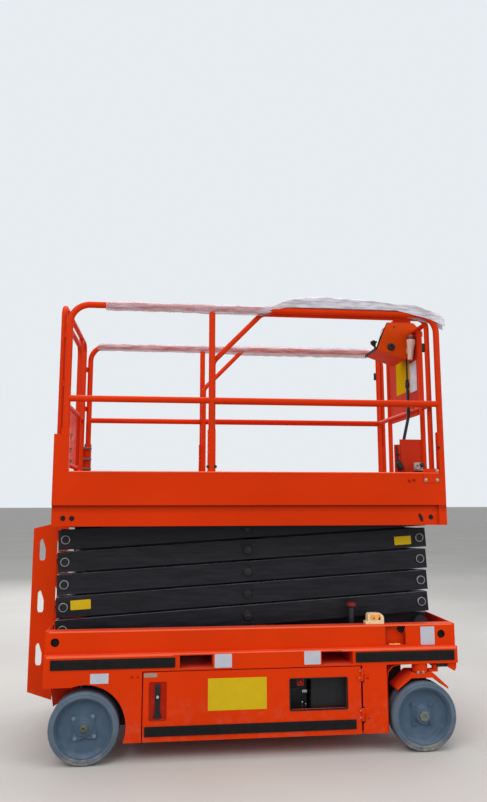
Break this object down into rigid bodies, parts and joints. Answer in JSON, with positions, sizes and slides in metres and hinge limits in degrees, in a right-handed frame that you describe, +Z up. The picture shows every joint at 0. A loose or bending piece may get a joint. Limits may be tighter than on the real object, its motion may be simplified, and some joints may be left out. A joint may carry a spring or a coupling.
{
  "type": "self-propelled scissor lift",
  "caption": "Slab scissor work platform, lowered: stacked crossed arms on a wheeled chassis raise a railed deck that slides out at the front",
  "frame": {"origin": "on the ground below the middle of the whole machine", "axes": "+X to the steered front end, -Y to the side with the window, +Z up"},
  "size_m": [2.5, 1.172, 2.5943],
  "materials": {
    "orange_paint": "gloss orange-red powder coat",
    "black_paint": "gloss black paint",
    "dark_paint": "satin black paint",
    "bright_steel": "turned steel",
    "chrome_rod": "hard chrome",
    "wheel_rubber": "blue-grey solid rubber",
    "wheel_paint": "blue-grey paint",
    "black_plastic": "black plastic",
    "amber_plastic": "amber plastic",
    "clear_film": "white translucent film"
  },
  "bodies": {
    "chassis": {"chassis_frame": "orange_paint", "centre_tub": "orange_paint", "rear_skirts": "orange_paint", "front_skirts": "orange_paint", "rear_ladder": "orange_paint", "rear_axle": "dark_paint", "battery_block": "dark_paint", "hydraulic_block": "dark_paint", "ground_controls": "black_plastic", "charger_box": "black_plastic", "beacon_light": "amber_plastic"},
    "wheel_rear_near": {"tyre_rear_near": "wheel_rubber", "rim_rear_near": "wheel_paint"},
    "wheel_rear_far": {"tyre_rear_far": "wheel_rubber", "rim_rear_far": "wheel_paint"},
    "wheel_front_near": {"tyre_front_near": "wheel_rubber", "rim_front_near": "wheel_paint"},
    "wheel_front_far": {"tyre_front_far": "wheel_rubber", "rim_front_far": "wheel_paint"},
    "knuckle_near": {"steering_knuckle_near": "orange_paint"},
    "knuckle_far": {"steering_knuckle_far": "orange_paint"},
    "steering_link": {"steering_link": "bright_steel"},
    "door_near": {"side_door_near": "orange_paint"},
    "door_far": {"side_door_far": "orange_paint"},
    "lift_barrel": {"lift_barrel": "black_paint"},
    "lift_rod": {"lift_rod": "chrome_rod"},
    "platform": {"platform_frame": "orange_paint", "main_rail_near": "orange_paint", "main_rail_far": "orange_paint", "rear_rail": "orange_paint", "rail_film_near": "clear_film", "rail_film_far": "clear_film"},
    "gate": {"entry_gate": "orange_paint"},
    "extension": {"sliding_deck": "orange_paint", "sliding_hoop_near": "orange_paint", "sliding_hoop_far": "orange_paint", "sliding_rails": "orange_paint", "front_panels": "orange_paint", "control_cable": "black_plastic", "control_box": "orange_paint"},
    "outer_1": {"outer_arms_1": "black_paint", "pivot_pins_1": "bright_steel"},
    "inner_1": {"inner_arms_1": "black_paint", "lower_rollers": "bright_steel"},
    "outer_2": {"outer_arms_2": "black_paint", "pivot_pins_2": "bright_steel"},
    "inner_2": {"inner_arms_2": "black_paint"},
    "outer_3": {"outer_arms_3": "black_paint", "pivot_pins_3": "bright_steel"},
    "inner_3": {"inner_arms_3": "black_paint"},
    "outer_4": {"outer_arms_4": "black_paint", "pivot_pins_4": "bright_steel"},
    "inner_4": {"inner_arms_4": "black_paint"},
    "outer_5": {"outer_arms_5": "black_paint", "pivot_pins_5": "bright_steel"},
    "inner_5": {"inner_arms_5": "black_paint", "upper_pins": "bright_steel"}
  },
  "joints": [
    {"name": "lift", "type": "hinge", "parent": "chassis", "child": "outer_1", "pos_m": [-1.038, 0, 0.677], "axis": [0, -1, 0], "range_deg": [0, 56.58]},
    {"name": "inner_1_turn", "type": "hinge", "parent": "outer_1", "child": "inner_1", "pos_m": [0.034, 0, 0.741], "axis": [0, -1, 0], "range_deg": [-113.37, 0]},
    {"name": "inner_2_turn", "type": "hinge", "parent": "outer_1", "child": "inner_2", "pos_m": [1.106, 0, 0.805], "axis": [0, -1, 0], "range_deg": [-113.37, 0]},
    {"name": "outer_2_turn", "type": "hinge", "parent": "inner_2", "child": "outer_2", "pos_m": [0.034, 0, 0.869], "axis": [0, -1, 0], "range_deg": [0, 113.37]},
    {"name": "outer_3_turn", "type": "hinge", "parent": "inner_2", "child": "outer_3", "pos_m": [-1.038, 0, 0.933], "axis": [0, -1, 0], "range_deg": [0, 113.37]},
    {"name": "inner_3_turn", "type": "hinge", "parent": "outer_3", "child": "inner_3", "pos_m": [0.034, 0, 0.997], "axis": [0, -1, 0], "range_deg": [-113.37, 0]},
    {"name": "inner_4_turn", "type": "hinge", "parent": "outer_3", "child": "inner_4", "pos_m": [1.106, 0, 1.061], "axis": [0, -1, 0], "range_deg": [-113.37, 0]},
    {"name": "outer_4_turn", "type": "hinge", "parent": "inner_4", "child": "outer_4", "pos_m": [0.034, 0, 1.125], "axis": [0, -1, 0], "range_deg": [0, 113.37]},
    {"name": "outer_5_turn", "type": "hinge", "parent": "inner_4", "child": "outer_5", "pos_m": [-1.038, 0, 1.189], "axis": [0, -1, 0], "range_deg": [0, 113.37]},
    {"name": "inner_5_turn", "type": "hinge", "parent": "outer_5", "child": "inner_5", "pos_m": [0.034, 0, 1.253], "axis": [0, -1, 0], "range_deg": [-113.37, 0]},
    {"name": "platform_level", "type": "hinge", "parent": "inner_5", "child": "platform", "pos_m": [-1.038, 0, 1.317], "axis": [0, -1, 0], "range_deg": [0, 56.68]},
    {"name": "barrel_turn", "type": "hinge", "parent": "inner_1", "child": "lift_barrel", "pos_m": [1.03222, 0, 0.68141], "axis": [0, -1, 0], "range_deg": [-10.9, 0]},
    {"name": "rod_stroke", "type": "slide", "parent": "lift_barrel", "child": "lift_rod", "axis": [-0.9924, 0, 0.1229], "range_m": [0, 1.719]},
    {"name": "wheel_rear_near_spin", "type": "hinge", "parent": "chassis", "child": "wheel_rear_near", "pos_m": [-0.884, -0.5215, 0.1905], "axis": [0, 1, 0], "continuous": true},
    {"name": "wheel_rear_far_spin", "type": "hinge", "parent": "chassis", "child": "wheel_rear_far", "pos_m": [-0.884, 0.5215, 0.1905], "axis": [0, 1, 0], "continuous": true},
    {"name": "wheel_front_near_spin", "type": "hinge", "parent": "knuckle_near", "child": "wheel_front_near", "pos_m": [1.035, -0.5215, 0.1905], "axis": [0, 1, 0], "continuous": true},
    {"name": "wheel_front_far_spin", "type": "hinge", "parent": "knuckle_far", "child": "wheel_front_far", "pos_m": [1.035, 0.5215, 0.1905], "axis": [0, 1, 0], "continuous": true},
    {"name": "steer", "type": "hinge", "parent": "chassis", "child": "knuckle_near", "pos_m": [1.035, -0.52, 0.45], "axis": [0, 0, 1], "range_deg": [-45, 45]},
    {"name": "steer_far", "type": "hinge", "parent": "chassis", "child": "knuckle_far", "pos_m": [1.035, 0.52, 0.45], "axis": [0, 0, 1], "range_deg": [-45.1, 45.1]},
    {"name": "link_turn", "type": "hinge", "parent": "knuckle_near", "child": "steering_link", "pos_m": [1.128, -0.52, 0.4535], "axis": [0, 0, 1], "range_deg": [-45.1, 45.1]},
    {"name": "door_near_swing", "type": "hinge", "parent": "chassis", "child": "door_near", "pos_m": [0.673, -0.578, 0.29], "axis": [0, 0, 1], "range_deg": [0, 100]},
    {"name": "door_far_swing", "type": "hinge", "parent": "chassis", "child": "door_far", "pos_m": [0.673, 0.578, 0.29], "axis": [0, 0, -1], "range_deg": [0, 100]},
    {"name": "gate_swing", "type": "hinge", "parent": "platform", "child": "gate", "pos_m": [-1.078, -0.273, 2.05], "axis": [0, 0, -1], "range_deg": [0, 90]},
    {"name": "deck_slide", "type": "slide", "parent": "platform", "child": "extension", "axis": [1, 0, 0], "range_m": [0, 0.9]}
  ],
  "couplings": [
    {"joint": "inner_1_turn", "follows": "lift", "ratio": -2},
    {"joint": "inner_2_turn", "follows": "lift", "ratio": -2},
    {"joint": "outer_2_turn", "follows": "lift", "ratio": 2},
    {"joint": "outer_3_turn", "follows": "lift", "ratio": 2},
    {"joint": "inner_3_turn", "follows": "lift", "ratio": -2},
    {"joint": "inner_4_turn", "follows": "lift", "ratio": -2},
    {"joint": "outer_4_turn", "follows": "lift", "ratio": 2},
    {"joint": "outer_5_turn", "follows": "lift", "ratio": 2},
    {"joint": "inner_5_turn", "follows": "lift", "ratio": -2},
    {"joint": "platform_level", "follows": "lift", "ratio": 1},
    {"joint": "barrel_turn", "follows": "lift", "ratio": -0.1909},
    {"joint": "rod_stroke", "follows": "lift", "m_per_rad": 1.7386},
    {"joint": "steer_far", "follows": "steer", "ratio": 1},
    {"joint": "link_turn", "follows": "steer", "ratio": -1}
  ]
}
